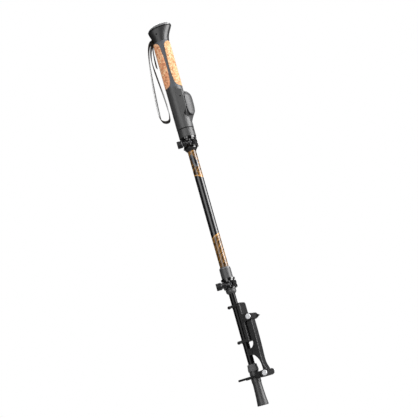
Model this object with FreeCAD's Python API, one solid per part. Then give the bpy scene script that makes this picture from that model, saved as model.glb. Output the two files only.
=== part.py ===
# Telescoping mountain staff with cork grip, two lever clamps and a clip-on folding rest.
# Millimetres. +Z runs up the staff, the origin is the centre of the foot's flat bottom.
import FreeCAD, Part
import math
import os

from FreeCAD import Vector as V

os.makedirs("parts", exist_ok=True)

# ---------------------------------------------------------------- driving dimensions
LOW_R, LOW_WALL = 7.25, 1.1        # lower tube, outer radius and wall
MID_R, MID_WALL = 9.7, 1.1         # middle tube
HAN_R, HAN_WALL = 12.0, 1.4        # tube inside the handle
RUN = 0.08                         # radial running clearance of bushes
NEST = 0.05                        # radial gap of pieces that are fixed to each other

FOOT_TOP, FERRULE_TOP, COLLAR_TOP = 48.6, 73.5, 87.7
LOW_Z0, LOW_Z1 = 50.2, 800.0
MID_Z0, MID_Z1 = 257.2, 822.0
HAN_Z0, HAN_Z1 = 588.2, 842.0

SLEEVE_R, SLEEVE_Z0, SLEEVE_Z1, SLEEVE_RING = 12.5, 277.5, 303.0, 4.0
RING_R, RING_Z0, RING_Z1 = 19.2, 607.5, 626.9
BODY_R, BODY_Z0, BODY_Z1 = 19.5, 628.2, 727.5
GRIP_R, CORK_R, CORK_IN = 19.35, 19.85, 16.0
HEAD_Z0 = 843.6

TRIG_DIR = -42.0                   # direction that the trigger faces, degrees
TRIG_BACK = 7.4                    # set-back of the trigger nose along Y
TRIG_PIVOT_R, TRIG_PIVOT_Z = 26.6, 701.0
TRIG_HALF_W, TRIG_HALF_H, TRIG_Z = 11.8, 27.0, 682.3

REST_TURN = 30.0                   # the folding rest stands off at this angle, degrees
PIN1 = (31.9, 184.7)               # upper hinge of the rest: distance from the axis, height
PIN2 = (33.3, 62.7)                # lower hinge
KNUCKLE_R, BARREL_HALF = 7.0, 14.9
ARM_HALF = 8.5
PLATE_U0, PLATE_U1, PLATE_HALF = 10.9, 18.3, 14.1
PLATE_Z0, PLATE_Z1 = 135.4, 219.4
CLIP_Z = ((135.2, 141.2), (213.2, 218.6))
LINER_IN, LINER_OUT = LOW_R + 0.05, LOW_R + 0.65
SEAT_R = LINER_OUT + 0.05
PRONG_V, PRONG_R, PRONG_TIP, PRONG_Z = 15.5, 2.35, -33.3, 61.3

STRAP_W, STRAP_T = 18.0, 1.8

parts = {}


# ---------------------------------------------------------------- helpers
def rev(pts):
    """Solid of revolution about Z from a closed (r, z) outline."""
    w = Part.makePolygon([V(r, 0, z) for r, z in pts] + [V(pts[0][0], 0, pts[0][1])])
    return Part.Face(w).revolve(V(0, 0, 0), V(0, 0, 1), 360)


def tube(ro, ri, z0, z1):
    return Part.makeCylinder(ro, z1 - z0, V(0, 0, z0)).cut(
        Part.makeCylinder(ri, z1 - z0 + 2, V(0, 0, z0 - 1))
    )


def cyl(r, a, b):
    a, b = V(*a), V(*b)
    return Part.makeCylinder(r, (b - a).Length, a, b - a)


def cone(r1, r2, a, b):
    a, b = V(*a), V(*b)
    return Part.makeCone(r1, r2, (b - a).Length, a, b - a)


def box(x0, x1, y0, y1, z0, z1):
    return Part.makeBox(x1 - x0, y1 - y0, z1 - z0, V(x0, y0, z0))


def prism(pts, z0, z1):
    """Polygon in XY, extruded from z0 to z1."""
    w = Part.makePolygon([V(x, y, z0) for x, y in pts] + [V(pts[0][0], pts[0][1], z0)])
    return Part.Face(w).extrude(V(0, 0, z1 - z0))


def slab(pts, y0, y1):
    """Polygon in XZ, extruded along Y from y0 to y1."""
    w = Part.makePolygon([V(x, y0, z) for x, z in pts] + [V(pts[0][0], y0, pts[0][1])])
    return Part.Face(w).extrude(V(0, y1 - y0, 0))


def loop(points):
    c = Part.BSplineCurve()
    c.interpolate(Points=[V(*p) for p in points], PeriodicFlag=True)
    return Part.Wire([c.toShape()])


def oval(cx, rx, ry, z, slope=0.0, power=2.0, n=32):
    pts = []
    for i in range(n):
        a = 2 * math.pi * i / n
        c, s = math.cos(a), math.sin(a)
        x = rx * math.copysign(abs(c) ** (2 / power), c)
        y = ry * math.copysign(abs(s) ** (2 / power), s)
        pts.append((cx + x, y, z + slope * x))
    return pts


def turned(shape, deg):
    s = shape.copy()
    s.rotate(V(0, 0, 0), V(0, 0, 1), deg)
    return s


def one(shape):
    """The single solid of a boolean result."""
    s = shape.removeSplitter() if hasattr(shape, "removeSplitter") else shape
    sol = s.Solids
    if len(sol) != 1:
        sol = sorted(sol, key=lambda q: -q.Volume)
    return sol[0]


def rounded(shape, r, pick):
    """Fillets the edges that pick names, one group at a time where the whole set won't go."""
    es = [e for e in shape.Edges if pick(e)]
    try:
        f = shape.makeFillet(r, es)
        if f.isValid() and f.Volume > 0:
            return one(f)
    except Exception:
        pass
    for e in es:
        try:
            near = [q for q in shape.Edges if (q.CenterOfMass - e.CenterOfMass).Length < 1e-3]
            f = shape.makeFillet(r, near[:1])
            if f.isValid() and f.Volume > 0:
                shape = one(f)
        except Exception:
            continue
    return shape


def put(name, shape, turn=0.0):
    s = one(shape)
    if turn:
        s = turned(s, turn)
    parts[name] = s


def ribbon(pts, radii, t, y0, y1):
    """Flat band of thickness t whose centre line is straight runs joined by tangent arcs."""
    out, prev = None, pts[0]
    h = t / 2.0

    def run(a, b):
        dx, dz = b[0] - a[0], b[1] - a[1]
        ln = math.hypot(dx, dz)
        nx, nz = -dz / ln * h, dx / ln * h
        return slab([(a[0] + nx, a[1] + nz), (b[0] + nx, b[1] + nz), (b[0] - nx, b[1] - nz), (a[0] - nx, a[1] - nz)], y0, y1)

    pieces = []
    for i in range(1, len(pts) - 1):
        a, b, c = pts[i - 1], pts[i], pts[i + 1]
        d1 = (b[0] - a[0], b[1] - a[1])
        d2 = (c[0] - b[0], c[1] - b[1])
        l1, l2 = math.hypot(*d1), math.hypot(*d2)
        d1, d2 = (d1[0] / l1, d1[1] / l1), (d2[0] / l2, d2[1] / l2)
        cr = d1[0] * d2[1] - d1[1] * d2[0]
        ang = math.atan2(cr, d1[0] * d2[0] + d1[1] * d2[1])
        r = radii[i - 1]
        tl = min(r * math.tan(abs(ang) / 2), 0.48 * l1, 0.48 * l2)
        r = tl / math.tan(abs(ang) / 2)
        p1 = (b[0] - d1[0] * tl, b[1] - d1[1] * tl)
        p2 = (b[0] + d2[0] * tl, b[1] + d2[1] * tl)
        pieces.append(run(prev, p1))
        sgn = 1.0 if ang > 0 else -1.0
        cx, cz = p1[0] - d1[1] * r * sgn, p1[1] + d1[0] * r * sgn
        a1 = math.atan2(p1[1] - cz, p1[0] - cx)
        am, a2 = a1 + ang / 2, a1 + ang

        def q(rad, a):
            return V(cx + rad * math.cos(a), y0, cz + rad * math.sin(a))

        es = [
            Part.Arc(q(r + h, a1), q(r + h, am), q(r + h, a2)).toShape(),
            Part.makeLine(q(r + h, a2), q(r - h, a2)),
            Part.Arc(q(r - h, a2), q(r - h, am), q(r - h, a1)).toShape(),
            Part.makeLine(q(r - h, a1), q(r + h, a1)),
        ]
        pieces.append(Part.Face(Part.Wire(es)).extrude(V(0, y1 - y0, 0)))
        prev = p2
    pieces.append(run(prev, pts[-1]))
    s = pieces[0]
    for p in pieces[1:]:
        s = s.fuse(p)
    return s.removeSplitter()


# ---------------------------------------------------------------- foot and lower tube
put("rubber_foot", rev([
    (0, 0), (11.5, 0), (12.15, 0.9), (12.2, 2.0), (11.75, 6.0), (11.2, 11.5), (10.65, 19.0),
    (10.2, 28.0), (9.85, 38.0), (9.6, FOOT_TOP), (7.0, FOOT_TOP), (7.0, 14.0), (3.6, 14.0), (3.6, 4.0), (0, 4.0),
]))
put("steel_tip", rev([(0, 4.1), (1.2, 4.1), (3.5, 8.5), (3.5, 13.9), (0, 13.9)]))
put("foot_ferrule", rev([
    (0, 14.0), (6.95, 14.0), (6.95, FOOT_TOP), (10.1, FOOT_TOP), (10.35, 49.2), (10.35, 57.2), (9.9, 57.8),
    (9.9, 65.6), (10.45, 66.0), (10.45, 68.6), (9.7, 69.2), (9.7, 70.4), (10.25, 70.8), (10.25, 73.0), (9.9, FERRULE_TOP),
    (LOW_R + NEST, FERRULE_TOP), (LOW_R + NEST, LOW_Z0 - 0.1), (0, LOW_Z0 - 0.1),
]))


def chamfered(h, c, z):
    p = [(h, -h + c), (h, h - c), (h - c, h), (-h + c, h), (-h, h - c), (-h, -h + c), (-h + c, -h), (h - c, -h)]
    return Part.makePolygon([V(x, y, z) for x, y in p] + [V(p[0][0], p[0][1], z)])


col = Part.makeLoft([chamfered(11.0, 4.6, FERRULE_TOP), chamfered(11.0, 4.6, 77.8)], True, True)
col = col.fuse(Part.makeLoft([chamfered(11.0, 4.6, 77.8), chamfered(9.75, 4.1, COLLAR_TOP)], True, True))
col = col.cut(Part.makeCylinder(LOW_R + NEST, 40, V(0, 0, 60)))
put("foot_collar", col, 4.0)
put("lower_tube", tube(LOW_R, LOW_R - LOW_WALL, LOW_Z0, LOW_Z1))
put("lower_guide", tube(MID_R - MID_WALL - RUN, LOW_R + NEST, LOW_Z1 - 22, LOW_Z1 - 0.5))

# ---------------------------------------------------------------- middle tube, sleeve
put("middle_tube", tube(MID_R, MID_R - MID_WALL, MID_Z0, MID_Z1))
put("middle_guide", tube(HAN_R - HAN_WALL - RUN, MID_R + NEST, MID_Z1 - 22, MID_Z1 - 0.5))
sleeve = rev([
    (LOW_R + RUN, 243.8), (8.5, 243.8), (11.0, 246.9), (11.35, 248.2), (11.35, 252.6), (10.85, 253.4), (10.85, SLEEVE_Z0 + 0.2),
    (12.1, SLEEVE_Z0 + 0.2), (SLEEVE_R, SLEEVE_Z0 + 0.7), (SLEEVE_R, SLEEVE_Z1 - SLEEVE_RING - 0.5), (12.15, SLEEVE_Z1 - SLEEVE_RING),
    (MID_R + NEST, SLEEVE_Z1 - SLEEVE_RING), (MID_R + NEST, MID_Z0 - 0.1), (LOW_R + RUN, MID_Z0 - 0.1),
])
put("lower_sleeve", sleeve)
put("lower_sleeve_ring", rev([
    (MID_R + NEST, SLEEVE_Z1 - SLEEVE_RING + 0.1), (12.2, SLEEVE_Z1 - SLEEVE_RING + 0.1), (12.45, SLEEVE_Z1 - SLEEVE_RING + 0.5),
    (12.45, SLEEVE_Z1 - 2.0), (11.2, SLEEVE_Z1), (MID_R + NEST, SLEEVE_Z1),
]))


# ---------------------------------------------------------------- lever clamps
def clamp(tag, zc, z0, z1, bore, ro, py, px, knob_x0, knob_x1, knob_r, flanges):
    """Split collar with two ears, a cross screw, a thumb knob and a cam lever."""
    half = 7.0                                     # half height of ears and lever
    gap0, gap1 = -5.7, -4.3
    face = px - 0.5 - 4.2 - 0.12                   # ear face the cam presses on
    ring = tube(ro, bore, z0, z1)
    for fz0, fz1, fr in flanges:
        ring = ring.fuse(tube(fr, bore, fz0, fz1))
    for x0, x1, yin in ((-14.3, gap0, -8.0), (gap1, face, -bore + 0.6)):
        ear = box(x0, x1, py, yin, zc - half, zc + half).fuse(cyl(half, (x0, py, zc), (x1, py, zc)))
        ring = ring.fuse(ear)
    ring = ring.cut(Part.makeCylinder(bore, 80, V(0, 0, z0 - 20)))
    ring = ring.cut(box(gap0, gap1, -40, 0, z0 - 1, z1 + 1))
    ring = ring.cut(cyl(2.1, (-20, py, zc), (5, py, zc)))
    put(tag + "_clamp_collar", ring)
    put(tag + "_tension_screw", cyl(2.0, (knob_x0 + 2.6, py, zc), (px - 2.05, py, zc)))
    put(tag + "_washer", cyl(6.2, (knob_x1 + 0.15, py, zc), (-14.4, py, zc)).cut(cyl(2.05, (-40, py, zc), (5, py, zc))))
    put(tag + "_lever_pin", Part.makeCylinder(2.0, 2 * half + 0.6, V(px, py, zc - half - 0.3)))
    # thumb knob with straight knurling round its rim
    k = cyl(knob_r, (knob_x0, py, zc), (knob_x1, py, zc))
    k = k.cut(cyl(2.05, (knob_x0 + 2.4, py, zc), (knob_x1 + 1, py, zc)))
    ends = [e for e in k.Edges if abs(e.BoundBox.XLength) < 1e-6 and e.Length > 2 * math.pi * knob_r * 0.9]
    k = k.makeChamfer(0.8, ends)
    cuts = []
    n = 18
    for i in range(n):
        a = 2 * math.pi * i / n
        cy, cz = py + (knob_r + 0.25) * math.cos(a), zc + (knob_r + 0.25) * math.sin(a)
        cuts.append(cyl(0.75, (knob_x0 + 1.4, cy, cz), (knob_x1 - 1.6, cy, cz)))
    k = k.cut(Part.makeCompound(cuts))
    k = k.cut(cyl(knob_r - 2.4, (knob_x0 - 1, py, zc), (knob_x0 + 0.5, py, zc)))
    put(tag + "_clamp_knob", k)
    # lever: two cam cheeks either side of the screw, and a blade wrapped round the collar
    ri, rl = ro + 0.35, ro + 3.3
    a0, a1 = math.radians(-56), math.radians(40)

    def pol(r, a):
        return (r * math.cos(a), r * math.sin(a))

    p = lambda r, a: V(*pol(r, a), zc - half)
    am = (a0 + a1) / 2
    wire = Part.Wire([
        Part.Arc(p(rl, a0), p(rl, am), p(rl, a1)).toShape(), Part.makeLine(p(rl, a1), p(ri, a1)),
        Part.Arc(p(ri, a1), p(ri, am), p(ri, a0)).toShape(), Part.makeLine(p(ri, a0), p(rl, a0)),
    ])
    blade = Part.Face(wire).extrude(V(0, 0, 2 * half))
    tip = pol((ri + rl) / 2 + 0.15, a1)
    blade = blade.fuse(Part.makeCylinder(1.62, 2 * half, V(tip[0], tip[1], zc - half)))
    cheek = Part.makeCylinder(4.2, 2 * half, V(px - 0.5, py, zc - half))
    link = prism([
        (px - 0.6, py - 4.15), (px + 3.2, py - 3.6), pol(rl + 0.6, math.radians(-52)), pol(rl, math.radians(-40)),
        pol(ri, math.radians(-38)), pol(ri + 0.02, math.radians(-48)), pol(ri + 0.05, math.radians(-58)),
        pol(ri + 0.1, math.radians(-66)), pol(ri + 0.25, math.radians(-72)), (px - 0.3, py + 1.0),
    ], zc - half, zc + half)
    lev = cheek.fuse(link).fuse(blade)
    lev = lev.cut(Part.makeCylinder(ri - 0.001, 60, V(0, 0, zc - 30)))
    sec = [(px, py)]
    for k2 in range(0, 15):
        a = math.radians(140 + k2 * (195 / 14.0))
        sec.append((px + 10.5 * math.cos(a), py + 10.5 * math.sin(a)))
    lev = lev.cut(prism(sec, zc - 2.6, zc + 2.6))
    lev = lev.cut(Part.makeCylinder(4.9, 5.2, V(px, py, zc - 2.6)))
    lev = lev.cut(Part.makeCylinder(2.05, 60, V(px, py, zc - 30)))
    # shallow finger groove along the middle of the blade
    lev = lev.cut(tube(rl + 2, rl - 0.55, zc - 2.2, zc + 2.2).common(prism([(0, 0), (60, -46), (60, 44)], zc - 5, zc + 5)))
    put(tag + "_clamp_lever", lev)


clamp("lower", 262.8, 254.3, 277.4, 10.9, 13.6, -18.2, 3.2, -28.4, -16.6, 8.0, ((254.3, 256.6, 12.6), (273.6, 277.4, 15.6)))
clamp("upper", 591.2, 583.4, 607.3, HAN_R + NEST, 15.2, -20.0, 3.9, -27.2, -16.0, 8.3, ((583.4, 584.0, 16.8), (603.2, 607.3, 18.6)))
put("upper_nose", rev([
    (MID_R + RUN, 574.9), (10.4, 574.9), (14.5, 580.9), (14.8, 581.8), (14.8, 583.3), (MID_R + RUN, 583.3),
]))

# ---------------------------------------------------------------- handle tube, ring, housing
th = math.radians(TRIG_DIR)
UH, NH = (math.cos(th), math.sin(th)), (-math.sin(th), math.cos(th))


def H(r, n, z, back=TRIG_BACK):
    """Point at distance r along the trigger nose, n across it, height z; the nose sits back from the staff's front."""
    return (r * UH[0] + n * NH[0], r * UH[1] + n * NH[1] + back, z)


PLUNGE_Z = 668.0
han = tube(HAN_R, HAN_R - HAN_WALL, HAN_Z0, HAN_Z1)
han = han.cut(cyl(2.7, H(5, 0, PLUNGE_Z, 0), H(14, 0, PLUNGE_Z, 0)))
put("handle_tube", han)

ring = rev([(HAN_R + NEST, RING_Z0 + 0.1), (18.7, RING_Z0 + 0.1), (RING_R, RING_Z0 + 0.7), (RING_R, RING_Z1 - 0.6), (18.6, RING_Z1), (HAN_R + NEST, RING_Z1)])
SET = {"right": -32.0, "left": -151.0, "back": 88.0}
RING_SCREW_Z = 619.5
for tag, a in SET.items():
    ra = math.radians(a)
    d = (math.cos(ra), math.sin(ra))
    ring = ring.cut(cyl(1.75, (13 * d[0], 13 * d[1], RING_SCREW_Z), (25 * d[0], 25 * d[1], RING_SCREW_Z)))
    s = cyl(1.7, (13.1 * d[0], 13.1 * d[1], RING_SCREW_Z), (17.9 * d[0], 17.9 * d[1], RING_SCREW_Z))
    s = s.cut(cyl(0.85, (16.4 * d[0], 16.4 * d[1], RING_SCREW_Z), (19 * d[0], 19 * d[1], RING_SCREW_Z)))
    put("ring_screw_" + tag, s)
put("lower_ring", ring)

body = rev([
    (HAN_R + NEST, BODY_Z0), (18.9, BODY_Z0), (BODY_R - 0.1, BODY_Z0 + 0.7), (BODY_R, 636.0), (BODY_R, BODY_Z1),
    (HAN_R + NEST, BODY_Z1),
])
def oval_prism(hw, hh, r0, r1, power=3.0):
    pts = []
    for i in range(36):
        a = 2 * math.pi * i / 36
        c, s = math.cos(a), math.sin(a)
        pts.append(H(r0, hw * math.copysign(abs(c) ** (2 / power), c), TRIG_Z + hh * math.copysign(abs(s) ** (2 / power), s)))
    return Part.Face(loop(pts)).extrude(V(UH[0], UH[1], 0) * (r1 - r0))


SPLIT = 0.6
put("housing_left", body.common(box(-60, SPLIT - 0.03, -60, 60, 600, 760)))
right = body.common(box(SPLIT + 0.03, 60, -60, 60, 600, 760))
# two screws from the back hold the halves together
for z in (645.0, 712.0):
    right = right.cut(cyl(2.55, (9.7, 11.0, z), (9.7, 30.0, z)))
    s = cyl(2.5, (9.7, 11.1, z), (9.7, 15.6, z))
    s = s.cut(cyl(1.2, (9.7, 14.4, z), (9.7, 18.0, z)))
    put("housing_screw_lower" if z < 680 else "housing_screw_upper", s)
# nose that carries the trigger: a plan outline cut from a flared, barrel-shaped body
NOSE_FACE = [(18.6, 631.0), (19.8, 639.5), (21.5, 646.0), (24.3, 651.5), (28.0, 656.5), (31.2, 661.0), (32.9, 667.0), (33.6, 677.0), (33.9, 688.0),
             (33.6, 699.0), (32.5, 706.0), (29.8, 711.4), (25.4, 715.6), (18.6, 719.6)]
NOSE_PLAN = [(0.0, 635.0), (6.0, 639.0), (10.6, 649.0), (13.3, 660.0), (14.0, 672.0), (14.1, 690.0), (13.8, 704.0), (11.6, 714.0), (6.2, 719.4), (0.0, 720.6)]
prof = [V(r, 0, z) for r, z in NOSE_FACE]
c = Part.BSplineCurve()
c.interpolate(prof)
w = Part.Wire([
    c.toShape(), Part.makeLine(prof[-1], V(14, 0, prof[-1].z)), Part.makeLine(V(14, 0, prof[-1].z), V(14, 0, prof[0].z)),
    Part.makeLine(V(14, 0, prof[0].z), prof[0]),
])
flare = Part.Face(w).revolve(V(0, 0, 0), V(0, 0, 1), 360)
flare.translate(V(0, TRIG_BACK, 0))
plan = [H(13.0, n, z) for n, z in NOSE_PLAN] + [H(13.0, -n, z) for n, z in NOSE_PLAN[-2:0:-1]]
nose = Part.Face(loop(plan)).extrude(V(UH[0], UH[1], 0) * 30).common(flare)
nose = rounded(one(nose), 2.2, lambda e: e.Length > 60 and min(math.hypot(q.Point.x, q.Point.y) for q in e.Vertexes) > 18.5)
nose = nose.cut(Part.makeCylinder(BODY_R - 1.5, 200, V(0, 0, 600)))
# flat shoulder that leads from the front of the housing to the near edge of the trigger
lead = prism([(-1.0, -19.30), (0.6, -19.48), (15.0, -25.1), (17.5, -22.0), (17.0, -8.0), (0.0, -BODY_R + 1.0)], 640.0, 724.0)
lead = lead.common(Part.Face(loop([(0.2, -40, 652.0), (8.0, -40, 662.0), (14.5, -40, 671.5), (18.5, -40, 679.0), (18.5, -40, 700.0), (17.0, -40, 711.0), (10.5, -40, 718.5),
                                   (0.2, -40, 721.5), (-1.0, -40, 700.0), (-1.0, -40, 672.0)])).extrude(V(0, 40, 0)))
lead = lead.cut(Part.makeCylinder(BODY_R - 1.5, 200, V(0, 0, 600)))
nose = nose.fuse(lead)
nose = nose.common(box(SPLIT + 0.03, 60, -60, 60, 600, 760))
right = one(right.fuse(nose))
right = right.cut(oval_prism(TRIG_HALF_W + 0.45, TRIG_HALF_H + 0.55, 22.6, 45.0))
right = right.cut(cyl(1.55, H(TRIG_PIVOT_R, -20, TRIG_PIVOT_Z), H(TRIG_PIVOT_R, 12.9, TRIG_PIVOT_Z)))
right = right.cut(cyl(2.5, H(5, 0, PLUNGE_Z, 0), H(21, 0, PLUNGE_Z, 0)))
put("housing_right", right)

# trigger paddle: an oval cut from a barrel-shaped body, on a boss that turns on the pin
FACE = [
    (20.0, 650.0), (31.0, 650.0), (33.4, 655.6), (34.4, 658.0), (35.2, 663.0), (35.9, 672.0), (36.4, 684.0), (36.4, 695.0),
    (35.8, 701.5), (34.3, 706.0), (31.6, 710.5), (20.0, 712.0),
]
prof = [V(r, 0, z) for r, z in FACE[1:-1]]
c = Part.BSplineCurve()
c.interpolate(prof)
w = Part.Wire([
    c.toShape(), Part.makeLine(prof[-1], V(15, 0, prof[-1].z)), Part.makeLine(V(15, 0, prof[-1].z), V(15, 0, prof[0].z)),
    Part.makeLine(V(15, 0, prof[0].z), prof[0]),
])
barrel = Part.Face(w).revolve(V(0, 0, 0), V(0, 0, 1), 360)
barrel.translate(V(0, TRIG_BACK, 0))
paddle = oval_prism(TRIG_HALF_W, TRIG_HALF_H, 27.4, 45.0).common(barrel)
boss = cyl(2.7, H(TRIG_PIVOT_R, -7.5, TRIG_PIVOT_Z), H(TRIG_PIVOT_R, 3.8, TRIG_PIVOT_Z))
paddle = paddle.fuse(boss).cut(cyl(2.4, H(TRIG_PIVOT_R, 3.8, TRIG_PIVOT_Z), H(TRIG_PIVOT_R, 7.4, TRIG_PIVOT_Z)))
paddle = one(paddle).cut(cyl(1.55, H(TRIG_PIVOT_R, -30, TRIG_PIVOT_Z), H(TRIG_PIVOT_R, 30, TRIG_PIVOT_Z)))
put("trigger_paddle", paddle)
put("trigger_pin", cyl(1.5, H(TRIG_PIVOT_R, -13.0, TRIG_PIVOT_Z), H(TRIG_PIVOT_R, 12.8, TRIG_PIVOT_Z)))
helix = Part.makeHelix(0.8, 2.4, 1.9)
prof_c = Part.Wire([Part.makeCircle(0.3, V(1.9, 0, 0), V(0, 1, 0))])
coil = Part.Wire(helix).makePipeShell([prof_c], True, True)
m = FreeCAD.Matrix(
    UH[0], 0, NH[0], 0,
    UH[1], 0, NH[1], 0,
    0, -1, 0, 0,
    0, 0, 0, 1,
)
coil = coil.transformGeometry(m)
coil.translate(V(*H(TRIG_PIVOT_R, 4.4, TRIG_PIVOT_Z)))
put("trigger_spring", coil)
plunger = cyl(2.4, H(MID_R + 0.12, 0, PLUNGE_Z, 0), H(17.2, 0, PLUNGE_Z, 0))
plunger = plunger.cut(Part.makeCylinder(MID_R + 0.12, 20, V(0, 0, PLUNGE_Z - 10)))
put("lock_plunger", plunger)

# ---------------------------------------------------------------- grip: rubber web with two cork panels
web = rev([
    (HAN_R + NEST, BODY_Z1 + 0.05), (BODY_R - 0.1, BODY_Z1 + 0.05), (GRIP_R, 729.0), (GRIP_R, 838.0), (18.9, 842.6), (18.4, HEAD_Z0 - 0.1),
    (HAN_R + NEST, HEAD_Z0 - 0.1),
])
LEFT = [(-27, 842.6), (-17.5, 841.8), (-13, 840.4), (-9.0, 837.0), (-6.1, 830.2), (-4.7, 819.1), (-3.6, 805.7), (-2.8, 789.0), (-2.7, 772.6),
        (-3.2, 756.3), (-4.7, 742.3), (-6.9, 733.6), (-10.8, 730.0), (-17.5, 729.4), (-27, 729.8)]
RIGHT = [(27, 842.9), (17.5, 842.2), (14, 841.2), (9.9, 838.6), (6.0, 832.6), (4.4, 821.4), (3.6, 805.7), (3.1, 789.0), (3.1, 772.6),
         (3.6, 756.3), (4.8, 744.5), (6.9, 736.2), (10.8, 731.2), (17.5, 729.6), (27, 730.2)]


def panel(pts):
    c = Part.BSplineCurve()
    c.interpolate([V(x, -40, z) for x, z in pts])
    w = Part.Wire([c.toShape(), Part.makeLine(V(pts[-1][0], -40, pts[-1][1]), V(pts[0][0], -40, pts[0][1]))])
    return Part.Face(w).extrude(V(0, 80, 0))


for tag, pts, shift in (("left", LEFT, -0.14), ("right", RIGHT, 0.14)):
    pr = panel(pts)
    web = web.cut(pr.common(tube(40, CORK_IN, 715, 855)))
    inner = [(x + shift, z + (-0.12 if z > 786 else 0.12)) for x, z in pts]
    skin = rev([(CORK_IN + 0.05, 720), (CORK_R, 720), (CORK_R, 836.0), (19.35, 841.0), (19.0, 850), (CORK_IN + 0.05, 850)])
    put("cork_panel_" + tag, panel(inner).common(skin))
put("grip_web", web)

# ---------------------------------------------------------------- head with strap slot
HEAD = [(HEAD_Z0, 0.3, 18.6, 18.5, 0.0), (850.0, 0.7, 19.3, 18.4, 0.0), (857.0, 1.2, 20.5, 18.1, 0.0), (863.2, 1.8, 22.4, 17.9, 0.01),
        (868.4, 2.6, 24.6, 17.8, 0.04), (872.8, 3.7, 26.5, 17.7, 0.08), (876.8, 4.9, 27.8, 17.6, 0.12)]
head = Part.makeLoft([loop(oval(cx, rx, ry, z, sl)) for z, cx, rx, ry, sl in HEAD], True, False)
head = head.fuse(Part.makeCylinder(HAN_R - HAN_WALL - NEST, HEAD_Z0 + 4 - 826, V(0, 0, 826.0)))
SLOT_Z0, SLOT_Z1 = 845.6, 856.0
head = head.cut(box(-40, -6.4, -9.6, 9.6, SLOT_Z0, SLOT_Z1))
PINX, PINZ = -5.2, 862.3
head = head.cut(cyl(1.85, (PINX, -30, PINZ), (PINX, 30, PINZ)))
put("pommel", head)
pin = cyl(1.8, (PINX, -17.3, PINZ), (PINX, 17.3, PINZ)).cut(cyl(1.1, (PINX, -20, PINZ), (PINX, 20, PINZ)))
put("strap_pin", pin)
put("strap_anchor", box(-14.4, -6.5, -9.5, 9.5, SLOT_Z0 + 0.1, SLOT_Z1 - 0.1))
rim_out = Part.Face(loop(oval(4.9, 28.3, 18.1, 876.85, 0.12))).extrude(V(0, 0, 2.8))
put("pommel_rim", rounded(one(rim_out), 0.7, lambda e: e.Length > 60))
CAP = [(879.7, 4.9, 27.7, 17.6, 0.12), (882.9, 5.9, 26.6, 16.8, 0.115), (885.8, 7.3, 23.7, 14.7, 0.09), (888.0, 9.0, 18.8, 11.4, 0.06),
       (889.3, 10.3, 12.0, 7.0, 0.03), (889.8, 10.8, 6.0, 3.5, 0.01)]
put("pommel_cap", Part.makeLoft([loop(oval(cx, rx, ry, z, sl)) for z, cx, rx, ry, sl in CAP], True, False))

# ---------------------------------------------------------------- wrist strap, flat webbing
LOOP = [(-14.6, 854.6), (-21.0, 854.4), (-29.2, 846.5), (-36.2, 822.0), (-40.8, 786.0), (-45.0, 742.0), (-48.6, 684.0), (-48.2, 662.5),
        (-36.5, 655.4), (-25.9, 659.5), (-26.0, 704.0), (-29.8, 752.0), (-33.6, 806.0), (-28.2, 833.5), (-20.0, 850.6), (-14.6, 850.9)]
LOOP_R = [9, 22, 90, 300, 300, 120, 14, 14, 9, 150, 300, 40, 40, 5]
put("strap_loop", ribbon(LOOP, LOOP_R, STRAP_T, -STRAP_W / 2, STRAP_W / 2))
TAIL = [(-14.6, 847.0), (-19.2, 846.4), (-22.3, 838.0), (-24.6, 816.0), (-25.4, 789.5)]
put("strap_tail", one(ribbon(TAIL, [4, 30, 120], STRAP_T, -STRAP_W / 2, STRAP_W / 2).cut(head)))

# ---------------------------------------------------------------- folding rest, drawn in its own turned axes
# here X is the distance out from the staff, Y is along the hinges
T = -REST_TURN
plate = box(PLATE_U0, PLATE_U1, -PLATE_HALF, PLATE_HALF, PLATE_Z0, PLATE_Z1)
plate = rounded(plate, 5.0, lambda e: abs(e.BoundBox.XLength - (PLATE_U1 - PLATE_U0)) < 1e-6 and e.BoundBox.ZMin > PLATE_Z1 - 1)
plate = rounded(plate, 1.6, lambda e: abs(e.CenterOfMass.x - PLATE_U1) < 1e-6)
plate = plate.cut(Part.makeCylinder(SEAT_R + 0.6, 120, V(0, 0, 120)))
bracket = plate
for z0, z1 in CLIP_Z:
    c = box(-4.0, PLATE_U0 + 2, -10.5, 10.5, z0, z1)
    for s in (-1, 1):
        lip = prism([(-3.9, s * 6.6), (-3.9, s * 10.5), (-11.6, s * 11.3), (-12.2, s * 8.9)], z0, z1)
        knob = cyl(3.4, (-10.3, s * 8.7, (z0 + z1) / 2 - 0.4), (-10.3, s * 11.5, (z0 + z1) / 2 - 0.4))
        c = c.fuse(lip).fuse(knob)
    bracket = bracket.fuse(c)
bracket = bracket.cut(Part.makeCylinder(SEAT_R, 120, V(0, 0, 120)))
for s in (-1, 1):
    y0, y1 = (ARM_HALF + 0.3, BARREL_HALF) if s > 0 else (-BARREL_HALF, -ARM_HALF - 0.3)
    ear = slab([(PLATE_U1 - 1, PIN1[1] - 9.0), (PIN1[0] - 1, PIN1[1] - 6.9), (PIN1[0], PIN1[1] + 7.0), (PLATE_U1 - 1, PIN1[1] + 9.0)], y0, y1)
    ear = ear.fuse(cyl(KNUCKLE_R, (PIN1[0], y0, PIN1[1]), (PIN1[0], y1, PIN1[1])))
    if s > 0:
        ear = ear.fuse(slab([(PIN1[0] + 2, PIN1[1] + 6.6), (PIN1[0] + 12.6, PIN1[1] - 1.6), (PIN1[0] + 3, PIN1[1] - 6.2)], y0 + 1.5, y1 - 0.8))
    bracket = bracket.fuse(ear)
bracket = bracket.cut(cyl(3.05, (PIN1[0], -30, PIN1[1]), (PIN1[0], 30, PIN1[1])))
put("rest_bracket", bracket, T)

for tag, (z0, z1) in zip(("lower", "upper"), CLIP_Z):
    liner = tube(LINER_OUT, LINER_IN, z0 - 0.9, z1 + 0.9).cut(box(-20, -3, -3.2, 3.2, z0 - 5, z1 + 5))
    put("clip_liner_" + tag, liner, T)


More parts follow.
